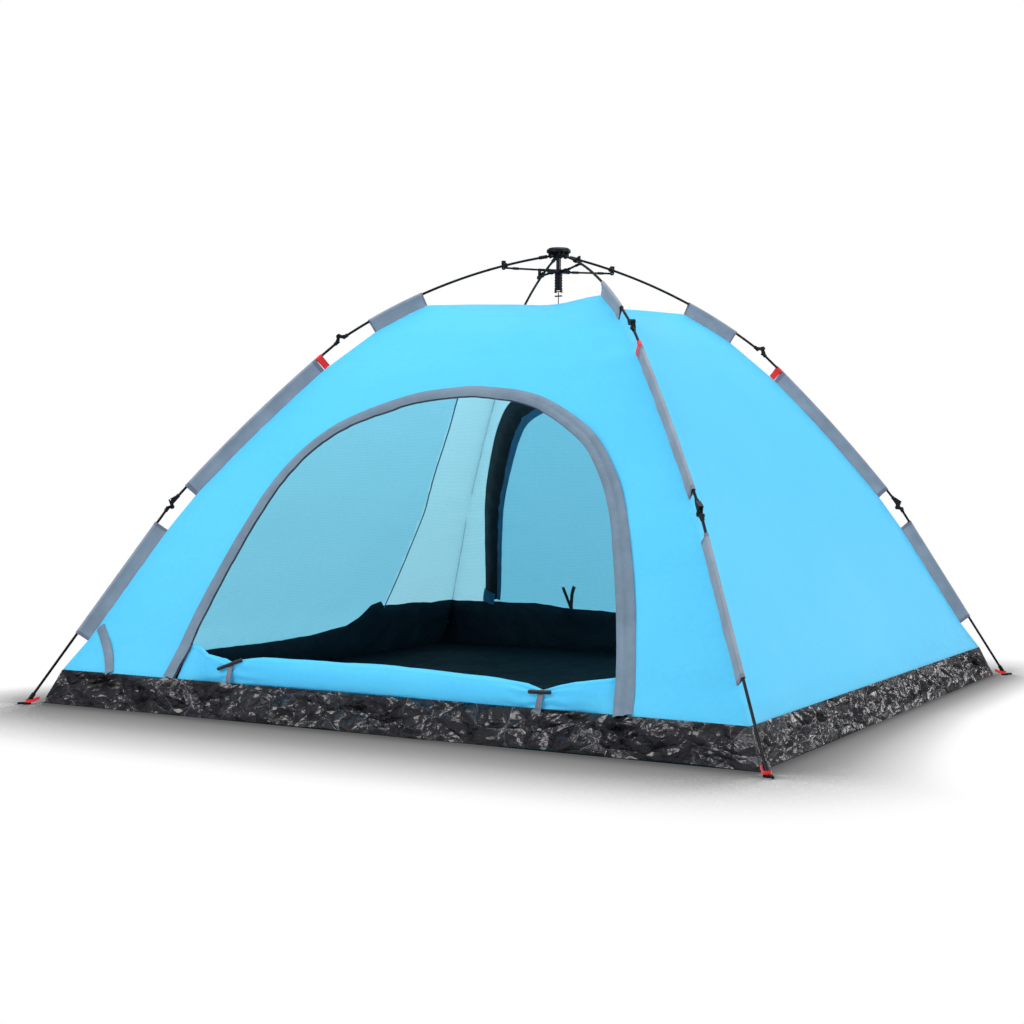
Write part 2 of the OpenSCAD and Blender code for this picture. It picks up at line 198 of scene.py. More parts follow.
WAIST_DIR = (SHOULDER - BASE) / np.linalg.norm(SHOULDER - BASE)
SHOULDER_DIR = (ROOF - WAIST) / np.linalg.norm(ROOF - WAIST)


def group_of(side, p):
    """Leg and ring that a point of a side panel belongs to."""
    along = spin(side, 1.0, 0.0, 0.0)
    leg = SIDE_LEGS[side][1] if p @ along >= 0 else SIDE_LEGS[side][0]
    d = leg_frame(leg)
    r = p @ d
    z = p[2]
    if z > 1.22 and r < ROOF[0]:
        if r < APEX_R:
            return leg, "apex"
        if (r - ROOF[0]) < -0.01 and abs(p @ spin(side, 0.0, 1.0, 0.0)) < ROOF[0] / RT2:
            return leg, "roof"
    rel = np.array([r, z])
    if (rel - WAIST) @ WAIST_DIR < 0:
        return leg, "lower"
    if (rel - SHOULDER) @ SHOULDER_DIR < 0:
        return leg, "middle"
    return leg, "upper"


def split_panel(name, side, verts, faces, mat, uv=None, nodes=(), painted_inner_light=None):
    """Cuts a sheet on one side of the cabin into one piece per leg and ring, without a
    visible seam, and fixes each piece to its own pole, which it follows when the frame folds."""
    verts = np.asarray(verts, float)
    normals = vertex_normals(verts, faces)
    groups = {}
    for f in faces:
        c = verts[list(f)].mean(0)
        groups.setdefault(group_of(side, c), []).append(f)
    made = []
    for (leg, ring), fs in sorted(groups.items()):
        used = sorted({i for f in fs for i in f})
        index = {v: k for k, v in enumerate(used)}
        o = make(f"{name}_{leg}_{ring}", verts[used], [[index[i] for i in f] for f in fs], mat,
                 uv=None if uv is None else np.asarray(uv)[used])
        # painted light and shade of the inside, stored on each vertex
        if painted_inner_light is not None:
            layer = o.data.attributes.new("painted_inner_light", "FLOAT", "POINT")
            layer.data.foreach_set("value", np.asarray(painted_inner_light, np.float32)[used])
        o.data.normals_split_custom_set_from_vertices([tuple(n) for n in normals[used]])
        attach(o, BODY[ring] + leg)
        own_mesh(o)
        made.append(o)
    if nodes:
        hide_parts(*nodes)
    return made


# ---- materials ----
def srgb(r, g, b):
    def f(c):
        c /= 255
        return c / 12.92 if c <= 0.04045 else ((c + 0.055) / 1.055) ** 2.4
    return f(r), f(g), f(b), 1.0


class Nodes:
    """Short names for building a Principled material from nodes."""

    def __init__(self, name):
        self.mat = bpy.data.materials.new(name)
        self.mat.use_nodes = True
        self.nt = self.mat.node_tree
        self.bsdf = self.nt.nodes["Principled BSDF"]
        self.out = self.nt.nodes["Material Output"]
        self.coord = self.add("ShaderNodeTexCoord")

    def add(self, kind, **values):
        n = self.nt.nodes.new(kind)
        for k, v in values.items():
            if hasattr(n, k):
                setattr(n, k, v)
            else:
                n.inputs[k.replace("_", " ")].default_value = v
        return n

    def link(self, a, b):
        self.nt.links.new(a, b)

    def noise(self, scale, detail=3.0, rough=0.5, vector=None, distort=0.0):
        n = self.add("ShaderNodeTexNoise", Scale=scale, Detail=detail, Roughness=rough,
                     Distortion=distort)
        self.link(vector or self.coord.outputs["Object"], n.inputs["Vector"])
        return n.outputs["Fac"]

    def ramp(self, fac, stops):
        r = self.add("ShaderNodeValToRGB")
        while len(r.color_ramp.elements) < len(stops):
            r.color_ramp.elements.new(0.5)
        for e, (p, c) in zip(r.color_ramp.elements, stops):
            e.position = p
            e.color = c if len(c) == 4 else (*c, 1)
        self.link(fac, r.inputs["Fac"])
        return r.outputs["Color"]

    def math(self, op, a, b=None, c=None):
        n = self.add("ShaderNodeMath", operation=op)
        for k, v in enumerate((a, b, c)):
            if v is None:
                continue
            if isinstance(v, (int, float)):
                n.inputs[k].default_value = v
            else:
                self.link(v, n.inputs[k])
        return n.outputs[0]

    def blend(self, fac, a, b, kind="MIX"):
        n = self.add("ShaderNodeMix", data_type="RGBA", blend_type=kind)
        for key, v in (("Factor", fac), ("A", a), ("B", b)):
            i = [q for q in n.inputs if q.name == key and q.enabled][0]
            if isinstance(v, (tuple, float, int)):
                i.default_value = v
            else:
                self.link(v, i)
        return [q for q in n.outputs if q.enabled][0]

    def scale_colour(self, colour, value):
        n = self.add("ShaderNodeVectorMath", operation="SCALE")
        self.link(colour, n.inputs[0])
        self.link(value, n.inputs["Scale"])
        return n.outputs[0]

    def bump(self, height, strength, distance, normal=None):
        b = self.add("ShaderNodeBump", Strength=strength, Distance=distance)
        self.link(height, b.inputs["Height"])
        if normal is not None:
            self.link(normal, b.inputs["Normal"])
        return b.outputs["Normal"]

    def set(self, name, value):
        i = self.bsdf.inputs[name]
        if hasattr(value, "is_linked") or hasattr(value, "links"):
            self.link(value, i)
        else:
            i.default_value = value

    def weave(self, count, source="UV"):
        """Plain weave: crossing threads, count per metre, from UVs laid out in metres."""
        m = self.add("ShaderNodeMapping")
        m.inputs["Scale"].default_value = (count, count, count)
        self.link(self.coord.outputs[source], m.inputs["Vector"])
        sep = self.add("ShaderNodeSeparateXYZ")
        self.link(m.outputs["Vector"], sep.inputs[0])
        sx = self.math("SINE", self.math("MULTIPLY", sep.outputs[0], math.pi * 2))
        sy = self.math("SINE", self.math("MULTIPLY", sep.outputs[1], math.pi * 2))
        return self.math("MULTIPLY", self.math("ADD", self.math("MULTIPLY", sx, sy), 1.0), 0.5)


def canopy_material():
    """Thin coated cloth: clear blue outside, paler and finely lined inside, lets light through.
    Inside, light and shade are painted on by region.
    """
    k = Nodes("canopy_blue")
    seen_inside = k.add("ShaderNodeNewGeometry").outputs["Backfacing"]
    tone = k.noise(1.7, 3, 0.55)
    fine = k.noise(60, 2, 0.6)
    painted_inner_light = k.add("ShaderNodeAttribute", attribute_name="painted_inner_light").outputs["Fac"]
    outside = k.ramp(tone, [(0.3, srgb(86, 206, 255)), (0.7, srgb(94, 211, 255))])
    # painted light and shade inside: the strip by the back corner is painted lighter and the back
    # wall beyond the second door darker, as the walls are lit
    inside_tone = k.ramp(painted_inner_light, [(0.0, srgb(92, 168, 194)), (0.4, srgb(108, 180, 203)),
                                (1.0, srgb(138, 205, 222))])
    base = k.blend(seen_inside, outside, inside_tone)
    uv = k.add("ShaderNodeSeparateXYZ")
    k.link(k.coord.outputs["UV"], uv.inputs[0])
    lines = k.math("SINE", k.math("ADD", k.math("MULTIPLY", uv.outputs[1], 860.0),
                                  k.math("MULTIPLY", k.noise(9, 3, 0.6), 9.0)))
    lined = k.math("MULTIPLY", k.math("MULTIPLY", lines, 0.07), seen_inside)
    value = k.math("ADD", k.math("MULTIPLY", k.math("SUBTRACT", fine, 0.5), 0.10), 1.0)
    value = k.math("ADD", value, lined)
    k.set("Base Color", k.scale_colour(base, value))
    k.set("Roughness", k.math("ADD", k.math("MULTIPLY", fine, 0.18), 0.46))
    k.set("Specular IOR Level", 0.22)
    k.set("Sheen Weight", 0.08)
    n1 = k.bump(k.noise(5.0, 4, 0.55, distort=0.8), 0.32, 0.012)
    n2 = k.bump(k.noise(26.0, 4, 0.6, distort=0.5), 0.22, 0.003, n1)
    k.set("Normal", k.bump(k.weave(900), 0.25, 0.0004, n2))
    through = k.add("ShaderNodeBsdfTranslucent")
    # painted light: the light let through is painted lighter in the same strip
    glow = k.blend(seen_inside, srgb(96, 212, 255), k.ramp(
        painted_inner_light, [(0.0, srgb(116, 204, 234)), (0.4, srgb(132, 214, 240)), (1.0, srgb(162, 228, 246))]))
    k.link(k.scale_colour(glow, value), through.inputs["Color"])
    k.link(n2, through.inputs["Normal"])
    shader = k.add("ShaderNodeMixShader")
    k.link(k.math("ADD", k.math("MULTIPLY", seen_inside, 0.38), 0.30), shader.inputs[0])
    k.link(k.bsdf.outputs[0], shader.inputs[1])
    k.link(through.outputs[0], shader.inputs[2])
    k.link(shader.outputs[0], k.out.inputs["Surface"])
    return k.mat


BLUE = canopy_material()


def tape_material(name, colour, dark, count=420):
    """Woven tape or webbing with count threads to the metre."""
    k = Nodes(name)
    fine = k.noise(140, 3, 0.6)
    broad = k.noise(14, 3, 0.6)
    base = k.ramp(broad, [(0.25, dark), (0.75, colour)])
    k.set("Base Color", base)
    k.set("Roughness", k.math("ADD", k.math("MULTIPLY", fine, 0.2), 0.5))
    k.set("Specular IOR Level", 0.3)
    k.set("Sheen Weight", 0.2)
    n1 = k.bump(k.noise(22, 4, 0.6, distort=0.6), 0.5, 0.005)
    n2 = k.bump(k.weave(count), 0.45, 0.0006, n1)
    k.set("Normal", n2)
    return k.mat


GREY = tape_material("sleeve_grey", srgb(130, 144, 160), srgb(112, 125, 140))
HEM = tape_material("sleeve_hem", srgb(108, 114, 132), srgb(92, 98, 116))
TRIM = tape_material("door_tape", srgb(106, 127, 146), srgb(88, 108, 128))
STRAP_GREY = tape_material("strap_grey", srgb(120, 126, 138), srgb(96, 102, 116), 300)
SEAM_AND_POLE_SHADOW = tape_material("inner_seam", srgb(62, 138, 166), srgb(44, 112, 142), 300)
# darker blue: a flap, and also the painted shadow beside the back door zip tape
FLAP_AND_PAINTED_SHADOW = tape_material("zip_flap_and_painted_shadow_blue", srgb(58, 124, 160), srgb(46, 106, 142), 300)
RED = tape_material("strap_red", srgb(226, 34, 40), srgb(196, 22, 32), 300)
BLACK_TAPE = tape_material("tape_black", srgb(26, 32, 42), srgb(14, 18, 26), 300)
TIE = tape_material("tie_cord", srgb(52, 58, 66), srgb(30, 34, 42), 500)


def tub_material():
    """Black film creased all over into small flat facets that catch the light, with painted
    highlights along the sharpest creases.
    """
    k = Nodes("tub_black_film")
    place = k.add("ShaderNodeMapping")
    place.inputs["Scale"].default_value = (1, 1, 1.7)
    k.link(k.coord.outputs["Object"], place.inputs["Vector"])
    shift = k.add("ShaderNodeTexNoise", Scale=9.0, Detail=3.0)
    k.link(place.outputs["Vector"], shift.inputs["Vector"])
    warp = k.add("ShaderNodeVectorMath", operation="MULTIPLY_ADD")
    k.link(shift.outputs["Color"], warp.inputs[0])
    warp.inputs[1].default_value = (0.045, 0.045, 0.045)
    k.link(place.outputs["Vector"], warp.inputs[2])

    def facets(scale):
        v = k.add("ShaderNodeTexVoronoi", feature="DISTANCE_TO_EDGE", Scale=scale)
        k.link(warp.outputs[0], v.inputs["Vector"])
        return v.outputs["Distance"]
    large, middle, small = facets(4.0), facets(10.0), facets(27.0)
    fine = k.noise(120, 4, 0.6)
    # painted highlights: the sharpest creases are painted light grey in patches, as glints
    patch = k.ramp(k.noise(5, 3, 0.6), [(0.50, (0, 0, 0)), (0.62, (1, 1, 1))])
    crease = k.ramp(k.math("MULTIPLY", middle, k.math("ADD", k.math("MULTIPLY", small, 2.0), 0.6)),
                    [(0.0, (1, 1, 1)), (0.016, (0, 0, 0))])
    painted_glint = k.math("MULTIPLY", k.math("MULTIPLY", crease, patch), 0.26)
    dark = k.ramp(k.noise(16, 4, 0.6), [(0.3, srgb(22, 22, 27)), (0.7, srgb(40, 40, 46))])
    k.set("Base Color", k.blend(painted_glint, dark, srgb(168, 170, 176)))
    k.set("Roughness", k.math("ADD", k.math("MULTIPLY", fine, 0.16), 0.18))
    k.set("Specular IOR Level", 0.6)
    n1 = k.bump(large, 1.0, 0.110)
    n2 = k.bump(middle, 1.0, 0.030, n1)
    n3 = k.bump(small, 0.8, 0.0055, n2)
    k.set("Normal", k.bump(fine, 0.3, 0.0008, n3))
    return k.mat


TUB_BLACK = tub_material()


def floor_material(name, dark, light):
    """Dull black coated cloth with soft waves."""
    k = Nodes(name)
    a = k.noise(7, 5, 0.6, distort=0.8)
    b = k.noise(40, 4, 0.6)
    k.set("Base Color", k.ramp(a, [(0.3, dark), (0.7, light)]))
    k.set("Roughness", k.math("ADD", k.math("MULTIPLY", b, 0.2), 0.6))
    k.set("Specular IOR Level", 0.05)
    n1 = k.bump(a, 0.7, 0.02)
    k.set("Normal", k.bump(b, 0.4, 0.002, n1))
    return k.mat


GROUND = floor_material("ground_sheet_black", srgb(15, 19, 24), srgb(22, 27, 33))
LINING_BLACK = floor_material("lining_black", srgb(38, 46, 55), srgb(50, 60, 70))


def plastic_material(name, colour, rough):
    """Moulded plastic with a fine grain."""
    k = Nodes(name)
    a = k.noise(90, 3, 0.6)
    k.set("Base Color", k.ramp(a, [(0.2, tuple(c * 0.8 for c in colour[:3])), (0.8, colour)]))
    k.set("Roughness", k.math("ADD", k.math("MULTIPLY", a, 0.2), rough))
    k.set("Specular IOR Level", 0.22)
    k.set("Normal", k.bump(k.noise(600, 2, 0.5), 0.15, 0.0004))
    return k.mat


PLASTIC = plastic_material("plastic_black", srgb(17, 20, 25), 0.35)
ROD = plastic_material("rod_black", srgb(10, 12, 16), 0.25)


def metal_material(name, colour, rough):
    """Drawn metal with a slight stain."""
    k = Nodes(name)
    a = k.noise(70, 3, 0.6)
    k.set("Base Color", k.ramp(a, [(0.2, tuple(c * 0.85 for c in colour[:3])), (0.8, colour)]))
    k.set("Metallic", 1.0)
    k.set("Roughness", k.math("ADD", k.math("MULTIPLY", a, 0.15), rough))
    k.set("Normal", k.bump(k.noise(400, 2, 0.5), 0.1, 0.0003))
    return k.mat


METAL = metal_material("tube_grey", srgb(72, 76, 84), 0.25)
PIN = metal_material("pin_steel", srgb(190, 192, 196), 0.25)

for node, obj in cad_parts.items():
    if "pole_" in node and "tab" not in node:
        mat = ROD
    elif "fittings" in node or node.startswith("strut") or node in ("hub_cap", "runner"):
        mat = PLASTIC
    elif node == "centre_tube":
        mat = METAL
    elif node == "hub_pins":
        mat = PIN
    elif node == "roof_cord":
        mat = BLACK_TAPE
    else:
        continue
    obj.data.materials.clear()
    obj.data.materials.append(mat)
    if node in ("hub_cap", "runner") or "fittings" in node:
        b = obj.modifiers.new("soft_edges", "BEVEL")
        b.width = 0.0006
        b.segments = 2
        b.limit_method = "ANGLE"

# ---- door outline, along and height on the front side, in metres ----
SILL = TUB_TOP + 0.004
DOOR = [(-0.718, SILL), (-0.706, 0.18), (-0.680, 0.32), (-0.622, 0.520), (-0.540, 0.734),
        (-0.413, 0.868), (-0.209, 0.953), (-0.060, 0.977), (0.070, 0.979), (0.258, 0.948),
        (0.429, 0.870), (0.529, 0.797), (0.622, 0.686), (0.682, 0.572), (0.741, 0.404),
        (0.783, 0.25), (0.815, SILL)]


def smooth_line(points, per=14):
    """Catmull-Rom line through points."""
    p = np.array([points[0], *points, points[-1]], float)
    out = []
    for i in range(1, len(p) - 2):
        for k in range(per):
            t = k / per
            a, b, c, d = p[i - 1], p[i], p[i + 1], p[i + 2]
            out.append(0.5 * (2 * b + (c - a) * t + (2 * a - 5 * b + 4 * c - d) * t ** 2
                              + (3 * b - a - 3 * c + d) * t ** 3))
    out.append(p[-2])
    return np.array(out)


DOOR_LINE = smooth_line(DOOR)


def line_frames(line):
    """Directions from a door outline towards the doorway, and its run length."""
    d = np.gradient(line, axis=0)
    d /= np.linalg.norm(d, axis=1, keepdims=True)
    n = np.stack([d[:, 1], -d[:, 0]], 1)
    centre = np.array([0.05, 0.45])
    flip = np.sign(((centre - line) * n).sum(1))
    run = np.concatenate([[0], np.cumsum(np.linalg.norm(np.diff(line, axis=0), axis=1))])
    return n * flip[:, None], run


DOOR_IN, DOOR_RUN = line_frames(DOOR_LINE)


def inside(poly, x, z):
    """True where the points x, z lie within the outline poly."""
    hit = np.zeros(np.shape(x), bool)
    j = len(poly) - 1
    for i in range(len(poly)):
        xi, zi = poly[i]
        xj, zj = poly[j]
        cross = ((zi > z) != (zj > z)) & (x < (xj - xi) * (z - zi) / (zj - zi + 1e-12) + xi)
        hit ^= cross
        j = i
    return hit


# ---- cabin sheets ----
def wrinkle(side, u, s, p):
    """Small outward offset of the tensioned cloth: folds that run out of the corners.
    It dies out at every edge, so that neighbouring sheets stay joined."""
    edge = (1 - abs(u)) * corner(s)[0] / RT2
    pull = math.exp(-edge / 0.16)
    a = math.sin(s * 52 + 3.1 * side + 4 * fbm(p, 2.3, side)) * 0.0018 * pull
    b = fbm(p, 3.2, 7.0 + side, 3) * 0.0045 * min(1, edge / 0.1)
    above = max(s - RUN[1], 0)
    c = math.sin(u * corner(s)[0] * 46 + 5 * fbm(p, 4, 3.0)) * 0.0022 * math.exp(-above / 0.06)
    return (a + b + c) * min(1, edge / 0.03) * min(1, above / 0.02)


# inner seam of the left wall and inner edge of the second door: along position at a height
SEAM_LINE = [(-0.240, 1.080), (-0.280, 1.014), (-0.368, 0.883), (-0.450, 0.723), (-0.521, 0.580),
             (-0.536, 0.426), (-0.541, 0.282), (-0.536, 0.10)]
BACK = [(0.893, 0.228), (0.873, 0.287), (0.819, 0.486), (0.777, 0.618),
        (0.716, 0.741), (0.608, 0.906), (0.491, 1.012), (0.30, 1.075), (0.05, 1.09),
        (-0.25, 1.05), (-0.48, 0.94), (-0.62, 0.75), (-0.70, 0.50), (-0.76, 0.25), (-0.765, 0.20)]


def painted_inner_light_at(side, p):
    """Painted light and shade on the inside of the cloth, from 0 (darkest) to 1 (lightest)."""
    if side == 3:
        z = [q[1] for q in SEAM_LINE]
        a = [q[0] for q in SEAM_LINE]
        return 1.0 if -p[1] < np.interp(p[2], z[::-1], a[::-1]) else 0.4
    if side == 2:
        return float(-p[0] > np.interp(p[2], [q[1] for q in BACK[:8]], [q[0] for q in BACK[:8]]))
    return 0.4


def cabin_side(side):
    """One wall with its quarter of the roof, from the tub to the middle."""
    nu, ns = 131, 112
    overlap = 0.018
    s_values = np.linspace(RUN[1] - overlap, RUN[-1] - 0.004, ns)
    u_values = np.linspace(-1, 1, nu)
    verts, uv, painted_inner_light = [], [], []
    for s in s_values:
        h = corner(s)[0] / RT2
        inset = -0.0035 * np.clip((RUN[1] + 0.004 - s) / 0.012, 0, 1)
        for u in u_values:
            p = panel(side, u, s)
            verts.append(panel(side, u, s, wrinkle(side, u, s, p) + inset))
            uv.append((u * h, s))
            painted_inner_light.append(painted_inner_light_at(side, p))
    verts = np.array(verts)
    faces = grid_faces(nu, ns)
    if side == 0:
        cut = DOOR_LINE + DOOR_IN * 0.014
        mid = np.array([verts[list(f)].mean(0) for f in faces])
        hole = inside(cut, mid[:, 0], mid[:, 2]) | (
            (mid[:, 0] > DOOR[0][0] + 0.015) & (mid[:, 0] < DOOR[-1][0] - 0.015)
            & (mid[:, 2] < SILL + 0.03))
        faces = [f for f, gone in zip(faces, hole) if not gone]
    return split_panel(f"canopy_{SIDE_NAME[side]}", side, verts, faces, BLUE, uv, painted_inner_light=painted_inner_light,
                       nodes=[f"{SIDE_NAME[side]}_wall"] + (["roof_panel"] if side == 0 else []))


for side in range(4):
    cabin_side(side)


def tub_side(side):
    """Creased film wall, with folds that fan out of each bottom corner."""
    nu, ns = 401, 22
    verts, uv = [], []
    for j in range(ns):
        t = j / (ns - 1)
        s = RUN[1] * t
        for i in range(nu):
            u = -1 + 2 * i / (nu - 1)
            p = panel(side, u, s)
            edge = (1 - abs(u)) * 1.16
            high = s + 0.012
            reach = math.hypot(edge, high)
            fan = math.sin(math.atan2(high, edge + 0.004) * 26 + 2 * fbm(p, 6, 1.0))
            w = fan * 0.008 * math.exp(-reach / 0.20) * min(1, reach / 0.06)
            w += fbm(p, 8, 2.0 + side, 4) * 0.013 - abs(fbm(p, 19, 5.0, 3)) * 0.014
            w += abs(fbm(p, 48, 8.0, 2)) * 0.005 + 0.006
            w *= (math.sin(math.pi * min(1, t * 1.02)) ** 0.6) * min(1, edge / 0.16)
            w += (0.0022 + 0.012 * fbm(p, 3.1, 11.0 + side, 3) * (1 - t) ** 2) * min(1, edge / 0.16)
            if t > 0.75:
                w = max(w, 0.0005)
            q = panel(side, u, s, w)
            q[2] = max(q[2], 0.002)
            verts.append(q)
            uv.append((u * 1.16, s))
    return split_panel(f"tub_{SIDE_NAME[side]}", side, verts, grid_faces(nu, ns), TUB_BLACK, uv,
                       nodes=["tub_walls"] if side == 0 else [])


for side in range(4):
    tub_side(side)

# black lining inside the foot of the cabin: height of its upper edge along each side
LINING = {1: [(-1.2, 0.15), (1.2, 0.16)],
          2: [(-1.2, 0.165), (0.31, 0.174), (0.425, 0.180), (0.56, 0.184), (0.70, 0.197),
              (1.2, 0.192)],
          3: [(-1.2, 0.192), (-0.56, 0.205), (-0.53, 0.226), (-0.464, 0.214), (-0.411, 0.165),
              (-0.346, 0.134), (-0.249, 0.130), (-0.121, 0.112), (0.058, 0.109), (1.2, 0.109)]}


def lining(side):
    """Black lining that climbs the inside of a wall to an uneven edge."""
    nu, ns = 161, 12
    verts, uv = [], []
    keys = LINING[side]
    for j in range(ns):
        t = j / (ns - 1)
        for i in range(nu):
            u = -1 + 2 * i / (nu - 1)
            a = u * 1.12
            top = np.interp(a, [q[0] for q in keys], [q[1] for q in keys])
            p = np.array([a, side, 0.0])
            top += 0.005 * fbm(p, 7, 3.0, 3)
            z = 0.004 + (top - 0.004) * t
            s = np.interp(z, CORNER[:4, 1], RUN[:4])
            edge = min(1, (1 - abs(u)) / 0.03)
            lift = -(0.008 + 0.016 * math.sin(math.pi * t) * (0.6 + 0.5 * fbm(p, 11, 6.0, 3)))
            if t == 1:
                lift = -0.003
            verts.append(panel(side, u, s, lift * edge - 0.001))
            uv.append((a, z))
    return split_panel(f"floor_lining_{SIDE_NAME[side]}", side, verts, grid_faces(nu, ns),
                       LINING_BLACK, uv)


for side in LINING:
    lining(side)


# ---- ground sheet: each quarter is a fan of narrow wedges, fixed to the lower part of its leg ----
def ground_quarter(leg, wedges=16):
    """Quarter of the ground sheet next to a leg, in wedges that meet at the tub corner."""
    sx, sy = SIGN[leg]
    size = FLOOR_HALF
    corner_pt = np.array([sx * size, sy * size, 0.003])
    pole = (FOOT - ELBOW2) / np.linalg.norm(FOOT - ELBOW2)
    out = leg_frame(leg)
    side_dir = np.array([-out[1], out[0], 0])
    # a direction leaning a little further out than the rod, worked out for the gathered sheet but
    # not used
    lean = math.radians(10.4)
    up = math.cos(lean) * -pole + math.sin(lean) * np.array([-pole[1], pole[0]])
    gather = out * up[0] + np.array([0, 0, up[1]])
    made = []
    for w in range(wedges):
        a0 = math.radians(-45 + 90 * w / wedges)
        a1 = math.radians(-45 + 90 * (w + 1) / wedges)
        n_r, n_a = 40, 5
        verts = []
        for i in range(n_r):
            for k in range(n_a):
                a = a0 + (a1 - a0) * k / (n_a - 1)
                reach = size / math.cos(math.radians(45) - abs(a))
                d = -out * math.cos(a) + side_dir * math.sin(a)
                p = corner_pt + d * reach * (1.002 * i / (n_r - 1) - 0.001)
                hump = 0.5 + 0.5 * fbm(p, 2.6, 4.0, 4)
                lift = 0.018 * max(0.0, hump) * min(1, (size - max(abs(p[0]), abs(p[1]))) / 0.08)
                verts.append(p + np.array([0, 0, max(lift, 0)]))
        o = make(f"ground_sheet_{leg}_{w}", verts, grid_faces(n_a, n_r), GROUND,
                 uv=[(v[0], v[1]) for v in verts])
        mid = (a0 + a1) / 2
        d = -out * math.cos(mid) + side_dir * math.sin(mid)
        n = d - gather * (d @ gather)
        n /= np.linalg.norm(n)
        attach(o, f"lower_leg_{leg}")
        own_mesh(o)
        made.append(o)
    return made


floor_parts = [o for leg in SIGN for o in ground_quarter(leg)]
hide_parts("ground_sheet")


# ---- tapes laid on a side panel ----
def ribbon(name, side, line, inward, run, width, lift, mat, rows=7, puff=0.003, ripple=0.002,
           seed=0.0, nodes=(), lobes=None):
    """Tape along a line on a side panel. width is a function of the share along the line,
    lobes a function that gives how far the tape is folded into two bands there."""
    n = len(line)
    verts, uv = [], []
    for i in range(n):
        t = run[i] / run[-1]
        wd = width(t)
        two = lobes(t) if lobes else 0.0
        for k in range(rows):
            f = k / (rows - 1)
            x, z = line[i] + inward[i] * wd * f
            p = panel_xz(side, x, z)
            h = puff * ((1 - two) * math.sin(math.pi * f) + two * abs(math.sin(math.pi * f / 0.5)))
            h += lift + ripple * fbm(p, 24, seed, 3) * (0.3 + f)
            verts.append(panel_xz(side, x, z, h))
            uv.append((run[i], wd * f))
    return split_panel(name, side, verts, grid_faces(rows, n), mat, uv, nodes=nodes)


def open_line(points, per=12):
    """Smooth line through points with the direction to its left and its run length."""
    line = smooth_line(points, per)
    d = np.gradient(line, axis=0)
    d /= np.linalg.norm(d, axis=1, keepdims=True)
    run = np.concatenate([[0], np.cumsum(np.linalg.norm(np.diff(line, axis=0), axis=1))])
    return line, np.stack([-d[:, 1], d[:, 0]], 1), run


def trim_width(t):
    """Width of the door tape: narrow over the arch, wide down the right jamb."""
    if t < 0.30:
        return 0.040 - 0.010 * t / 0.30
    if t < 0.60:
        return 0.030 + 0.004 * (t - 0.30) / 0.30
    return 0.034 + 0.020 * min(1, (t - 0.60) / 0.25)


def trim_lobes(t):
    """How far the door tape shows a groove along its middle."""
    return min(1.0, max(0.0, (t - 0.55) / 0.2))


ribbon("door_tape", 0, DOOR_LINE, DOOR_IN, DOOR_RUN, trim_width, 0.004, TRIM, rows=15,
       lobes=trim_lobes, puff=0.005, nodes=["door_trim"])
ribbon("door_tape_inner", 0, DOOR_LINE, DOOR_IN, DOOR_RUN, trim_width, -0.004, TRIM, rows=5,
       puff=-0.002)

# second door on the back wall: black zip tape and the blue flap beside it, its darker blue also a
# painted shadow of the tape
BACK_LINE = smooth_line(BACK, 10)
BACK_IN, BACK_RUN = line_frames(BACK_LINE)
ribbon("back_door_zip", 2, BACK_LINE, BACK_IN, BACK_RUN,
       lambda t: 0.052 + 0.016 * min(1, t / 0.2), -0.012, BLACK_TAPE, rows=9,
       puff=-0.008, ripple=0.004, nodes=["back_door_zip"])
ribbon("back_door_flap", 2, BACK_LINE + BACK_IN * 0.050, BACK_IN, BACK_RUN,
       lambda t: 0.018 + 0.024 * min(1, t / 0.25), -0.008, FLAP_AND_PAINTED_SHADOW, rows=7, puff=-0.003, seed=2.0)
end_line, end_left, end_run = open_line([(0.908, 0.206), (0.898, 0.232), (0.884, 0.260)])
ribbon("back_zip_end", 2, end_line, end_left, end_run, lambda t: 0.052, -0.016, FLAP_AND_PAINTED_SHADOW, rows=7,
       puff=-0.004, seed=4.0)

# thin inner seam of the left wall, its darker blue also a painted shadow of the pole
seam, seam_left, seam_run = open_line(SEAM_LINE)
ribbon("inner_seam_left", 3, seam - seam_left * 0.003, seam_left, seam_run, lambda t: 0.007,
       -0.006, SEAM_AND_POLE_SHADOW, rows=4, puff=-0.003, ripple=0.001)

# ties that hold the second door back, and the tape at the front left corner
for name, line in (("back_tie_a", [(0.493, 0.190), (0.497, 0.225), (0.502, 0.255), (0.506, 0.284)]),
                   ("back_tie_b", [(0.493, 0.190), (0.482, 0.225), (0.470, 0.258),
                                   (0.452, 0.289)])):
    line, left, run = open_line(line)
    ribbon(name, 2, line - left * 0.007, left, run, lambda t: 0.014, -0.022, TIE, rows=5,
           puff=-0.003, nodes=["back_door_ties"] if name == "back_tie_a" else [])
line, left, run = open_line([(-1.036, 0.233), (-1.008, 0.204), (-0.976, 0.170),
                             (-0.951, 0.138), (-0.930, TUB_TOP)])
ribbon("corner_tape", 0, line - left * 0.015, left, run, lambda t: 0.030, 0.003, TRIM, rows=7,
       puff=0.003, nodes=["corner_tape"])


